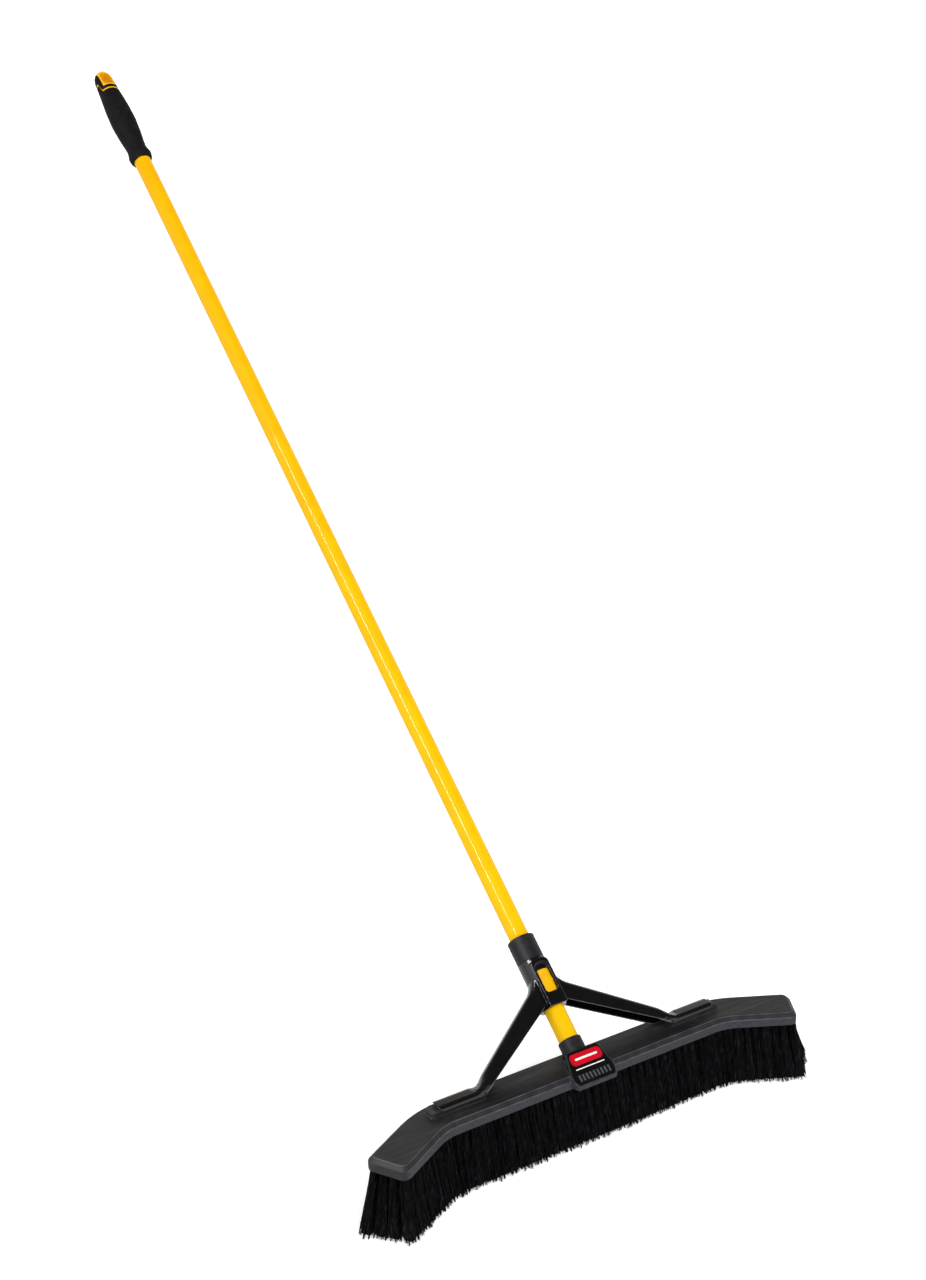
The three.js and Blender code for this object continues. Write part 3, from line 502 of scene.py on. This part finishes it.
def strands(row):
    """Centre lines of a row's strands, as an array of [strand, step, xyz]."""
    tufts = tuft_runs(row)
    runs = np.repeat(tufts, STRANDS)
    index = np.tile(np.arange(STRANDS), len(tufts))
    ring = np.sqrt(0.3 + 0.7 * (index + 0.5) / STRANDS)
    turn = index * math.radians(137.5) % (2 * math.pi)
    start = np.repeat(rng.uniform(0, 6.28, len(tufts)), STRANDS)
    sector = (turn / (2 * math.pi) * CLUMPS).astype(int)
    clump_turn = (sector + 0.5) * 2 * math.pi / CLUMPS
    number = np.repeat(np.arange(len(tufts)), STRANDS) * CLUMPS + sector
    clumps = len(tufts) * CLUMPS
    clump_reach = rng.uniform(0.6, 1.1, clumps)[number]
    lift = rng.uniform(0, RAGGED, clumps)[number] + rng.exponential(0.2 * RAGGED, len(runs))
    stray = rng.normal(0, 0.7 * MM, (4, len(runs)))
    lines = []
    for step in STRAND_STEPS:
        together = 0.85 * step ** 4
        reach = ring * fill(turn + start, step) * (1 - together)
        drawn = clump_reach * fill(clump_turn + start, step) * together
        along = reach * np.cos(turn + start) + drawn * np.cos(clump_turn + start)
        across = reach * np.sin(turn + start) + drawn * np.sin(clump_turn + start)
        run, depth = in_tuft(row, runs, along, across, step)
        waver = 0.6 * math.sin(1.7 * math.pi * step)
        run = run + stray[0] * step ** 2 + stray[2] * waver
        depth = depth + stray[1] * step ** 2 + stray[3] * waver
        x, y = on_block(run, depth)
        z = (BRISTLE_LENGTH + 2 * MM) * (1 - step) + lift * step
        lines.append(np.stack([x, y, z], axis=1))
    return np.stack(lines, axis=1)


def fill(turns, step):
    """The reach of a tuft's outline: round at the root, nearly square at the tip to fill the row."""
    power = 2 + 3 * step
    return (np.abs(np.cos(turns)) ** power + np.abs(np.sin(turns)) ** power) ** (-1 / power)


def hearts(row, sides=12):
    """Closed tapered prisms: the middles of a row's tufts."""
    tufts = tuft_runs(row)
    turns = np.arange(sides) * 2 * math.pi / sides
    rings = []
    for step, share in CORE_STEPS:
        reach = share * fill(turns, step)
        along = np.tile(reach * np.cos(turns), (len(tufts), 1))
        across = np.tile(reach * np.sin(turns), (len(tufts), 1))
        run, depth = in_tuft(row, tufts[:, None], along, across, step)
        x, y = on_block(run, depth)
        z = np.full_like(x, (BRISTLE_LENGTH + 2 * MM) * (1 - step))
        rings.append(np.stack([x, y, z], axis=2))
    return prisms(np.stack(rings, axis=1))


def prisms(rings):
    """Closed prisms from an array of [prism, ring, corner, xyz], running downwards."""
    count, steps, sides, _ = rings.shape
    corner = np.arange(sides)
    beyond = (corner + 1) % sides
    level = np.arange(steps - 1)[:, None] * sides
    walls = np.stack([level + corner, level + sides + corner, level + sides + beyond, level + beyond], axis=2)
    faces = []
    for first in range(0, count * steps * sides, steps * sides):
        faces += (first + walls.reshape(-1, 4)).tolist()
        faces.append((first + corner).tolist())
        faces.append((first + steps * sides - 1 - corner).tolist())
    return rings.reshape(-1, 3), faces


def tubes(lines, radius, sides=3):
    """Closed thin prisms round many centre lines."""
    turns = np.arange(sides) * 2 * math.pi / sides + rng.uniform(0, 6.28, (len(lines), 1))
    offsets = radius * np.stack([np.cos(turns), np.sin(turns), np.zeros_like(turns)], axis=2)
    taper = np.array(STRAND_TAPER)[None, :, None, None]
    return prisms(lines[:, :, None, :] + offsets[:, None, :, :] * taper)


def bristles():
    """One piece for each row: its strands and their hearts, in place of the CAD's bars."""
    for row in range(len(ROW_DEPTHS)):
        vertices, faces = tubes(strands(row), STRAND_RADIUS)
        more_vertices, more_faces = hearts(row)
        faces += [[corner + len(vertices) for corner in face] for face in more_faces]
        vertices = np.concatenate([vertices, more_vertices])
        piece = new_piece(f"bristles_row{row + 1}", vertices, faces, "head", FILAMENT)
        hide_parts(*[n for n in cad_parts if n.startswith(f"tufts_row{row + 1}_")])


# ---- Label ---------------------------------------------------------------------------------

RIBS = 9
RIB_PITCH = 5.2 * MM
RIB_HALF_WIDTH = 1.3 * MM


def bar(left, right, low, high, radius, steps=6):
    """A rectangle with rounded corners, in the label's plane."""
    corners = [
        (right - radius, high - radius),
        (left + radius, high - radius),
        (left + radius, low + radius),
        (right - radius, low + radius),
    ]
    outline = []
    for quarter, (x, y) in enumerate(corners):
        for step in range(steps + 1):
            turn = math.radians(90 * (quarter + step / steps))
            outline.append((x + radius * math.cos(turn), y + radius * math.sin(turn)))
    return outline


def raised(name, outlines, low, high, material, replaced=()):
    """Low prisms on the label's face, from outlines in its plane."""
    vertices, faces = [], []
    for outline in outlines:
        first, count = len(vertices), len(outline)
        for z in (low, high):
            vertices += [LABEL_FRAME @ Vector((x, y, z)) for x, y in outline]
        faces.append(tuple(range(first + count - 1, first - 1, -1)))
        faces.append(tuple(range(first + count, first + 2 * count)))
        for i in range(count):
            j = (i + 1) % count
            faces.append((first + i, first + j, first + count + j, first + count + i))
    piece = new_piece(name, vertices, faces, "head", material)
    if replaced:
        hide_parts(*replaced)
    return piece


def label():
    """The plate on the block's slope, with a plain red badge and plain bars for its markings."""
    moulding("label_plate", "head", LABEL_BLACK, 0.35 * MM, 3, 0.4)
    badge = bar(-22 * MM, 22 * MM, 23 * MM, 37.6 * MM, 5 * MM)
    raised("badge", [badge], 0.1 * MM, 1.0 * MM, RED, ["label_badge"])
    stripe = bar(-16 * MM, 16 * MM, 29 * MM, 31.6 * MM, 1.2 * MM)
    raised("badge_stripe", [stripe], 0.9 * MM, 1.15 * MM, PALE)
    line = bar(-20.5 * MM, 20.5 * MM, 18 * MM, 19.3 * MM, 0.6 * MM)
    raised("label_line", [line], -0.2 * MM, 0.2 * MM, PALE)
    ribs = []
    for i in range(RIBS):
        x = (i - (RIBS - 1) / 2) * RIB_PITCH
        ribs.append(bar(x - RIB_HALF_WIDTH, x + RIB_HALF_WIDTH, 3.6 * MM, 11.6 * MM, 0.5 * MM))
    raised("label_ribs", ribs, -0.3 * MM, 0.5 * MM, MARK_GREY)


# ---- The moulded and turned pieces ----------------------------------------------------------

def head():
    """Block, brace and the small pieces that stay with them, and the button."""
    moulding("block", "head", FOAM, 0.8 * MM, 3, 0.35)
    moulding("brace", "head", GLOSS, 0.6 * MM, 8, 1)
    turned_part("socket_sleeve", "head", GREY)
    turned_part("collar", "head", GREY)
    turned_part("button_pivot_pin", "head", STEEL, 0.1 * MM)
    turned_part("button_spring", "head", STEEL, 0.05 * MM)
    for side in ("left", "right"):
        for number in (1, 2):
            turned_part(f"foot_screw_{side}_{number}", "head", STEEL, 0.1 * MM)
    moulding("release_button", "button", YELLOW, 0.25 * MM, 4, 0.3)


def handle():
    """The tube with its plug, and the three pieces of the grip."""
    turned_part("pole", "handle", COAT, 0.1 * MM)
    turned_part("pole_end_plug", "handle", NYLON)
    moulding("grip_core", "handle", YELLOW, 0.4 * MM, 3, 0.3)
    moulding("grip_sleeve", "handle", RUBBER, 0.7 * MM, 5, 0.35)
    moulding("grip_cap", "handle", RUBBER, 0.4 * MM, 4, 0.3)


# ---- Floor, light and camera ----------------------------------------------------------------

SOFTBOX_PLACE = Vector((-1.36, 0.14, 1.85))
SOFTBOX_TARGET = Vector((0, 0.42, 0.44))
SOFTBOX_LENGTHWAYS = Vector((0.12, 0.81, 0.57))
SOFTBOX_SIZE = (0.4, 1.35)
SOFTBOX_WATTS = 95
SKY_STRENGTH = 2.5
SKY_SPREAD = math.radians(60)
SKY_FROM = Vector((-0.22, -0.66, 0.72))
# The surroundings' brightness by the sine of the height above the horizon.
SKY_SHADES = ((0.1, 1.05), (0.24, 1.7), (0.42, 1.7), (0.56, 0.14))
FLOOR_REACH = 400
FLOOR_DROP = 0.2 * MM
FLOOR_GLOW = 0.36


def softbox():
    """A long lamp at the left that shows only in gloss, as the thin line down the pole."""
    towards = (SOFTBOX_TARGET - SOFTBOX_PLACE).normalized()
    upright = (SOFTBOX_LENGTHWAYS - SOFTBOX_LENGTHWAYS.project(towards)).normalized()
    light = bpy.data.lights.new("softbox", "AREA")
    light.shape = "RECTANGLE"
    light.size, light.size_y = SOFTBOX_SIZE
    light.energy = SOFTBOX_WATTS
    lamp = bpy.data.objects.new("softbox", light)
    lamp.matrix_world = Matrix((upright.cross(-towards), upright, -towards)).transposed().to_4x4()
    lamp.location = SOFTBOX_PLACE
    lamp.visible_diffuse = False
    bpy.context.scene.collection.objects.link(lamp)


def sky():
    """Wide soft light from the left of the front. It lights surfaces, and gloss doesn't show it."""
    light = bpy.data.lights.new("sky", "SUN")
    light.energy = SKY_STRENGTH
    light.angle = SKY_SPREAD
    lamp = bpy.data.objects.new("sky", light)
    lamp.rotation_euler = SKY_FROM.to_track_quat("Z", "Y").to_euler()
    lamp.visible_glossy = False
    bpy.context.scene.collection.objects.link(lamp)


def surroundings():
    """White at the horizon, brightest from 14 to 25 degrees up, then a dim ceiling from 34."""
    world = bpy.data.worlds.new("studio")
    bpy.context.scene.world = world
    world.use_nodes = True
    nodes, links = world.node_tree.nodes, world.node_tree.links
    place = nodes.new("ShaderNodeTexCoord")
    split = nodes.new("ShaderNodeSeparateXYZ")
    links.new(place.outputs["Generated"], split.inputs["Vector"])
    shades = nodes.new("ShaderNodeValToRGB")
    elements = shades.color_ramp.elements
    while len(elements) < len(SKY_SHADES):
        elements.new(0.5)
    for element, (height, shade) in zip(elements, SKY_SHADES):
        element.position = height
        element.color = (shade, shade, shade, 1)
    links.new(split.outputs["Z"], shades.inputs["Fac"])
    links.new(shades.outputs["Color"], nodes["Background"].inputs["Color"])
    nodes["Background"].inputs["Strength"].default_value = 1


def pale_floor():
    """A wide floor just under the tips, bright enough to read as white."""
    corners = [(x * FLOOR_REACH, y * FLOOR_REACH, 0) for x, y in ((-1, -1), (1, -1), (1, 1), (-1, 1))]
    mesh = bpy.data.meshes.new("floor")
    mesh.from_pydata(corners, [], [(0, 1, 2, 3)])
    floor = bpy.data.objects.new("floor", mesh)
    floor.location.z = -FLOOR_DROP
    bpy.context.scene.collection.objects.link(floor)
    pale = Finish("pale_floor", 0.9, specular=0.2)
    pale.shader.inputs["Emission Color"].default_value = (1, 1, 1, 1)
    pale.shader.inputs["Emission Strength"].default_value = FLOOR_GLOW
    pale.colour(pale.ramp(pale.noise(0.4, 2), [(0.3, srgb(248, 248, 248)), (0.7, srgb(250, 250, 250))]))
    mesh.materials.append(pale.material)


def studio():
    """Floor, surroundings and lamps, shown without any tone curve."""
    pale_floor()
    surroundings()
    sky()
    softbox()
    bpy.context.scene.view_settings.view_transform = "Standard"


CAMERA_ANGLES = (-31.45, 18.97, -2.12)  # azimuth, elevation and roll in degrees
CAMERA_PLACE = (-1.0883, -1.5213, 1.2741)
CAMERA_LENS = 51.06
SENSOR_HEIGHT = 36


def camera():
    """The photograph's viewpoint: a little above, from the left of the broom's front."""
    azimuth, elevation, roll = (math.radians(angle) for angle in CAMERA_ANGLES)
    back = Vector((
        math.sin(azimuth) * math.cos(elevation),
        -math.cos(azimuth) * math.cos(elevation),
        math.sin(elevation),
    ))
    level = Vector((math.cos(azimuth), math.sin(azimuth), 0))
    upright = level.cross(-back)
    right = level * math.cos(roll) + upright * math.sin(roll)
    up = upright * math.cos(roll) - level * math.sin(roll)
    lens = bpy.data.cameras.new("camera")
    lens.sensor_fit = "VERTICAL"
    lens.sensor_height = SENSOR_HEIGHT
    lens.lens = CAMERA_LENS
    seat = bpy.data.objects.new("camera", lens)
    seat.matrix_world = Matrix((right, up, back)).transposed().to_4x4()
    seat.location = CAMERA_PLACE
    bpy.context.scene.collection.objects.link(seat)
    bpy.context.scene.camera = seat


bristles()
label()
head()
handle()
studio()
camera()
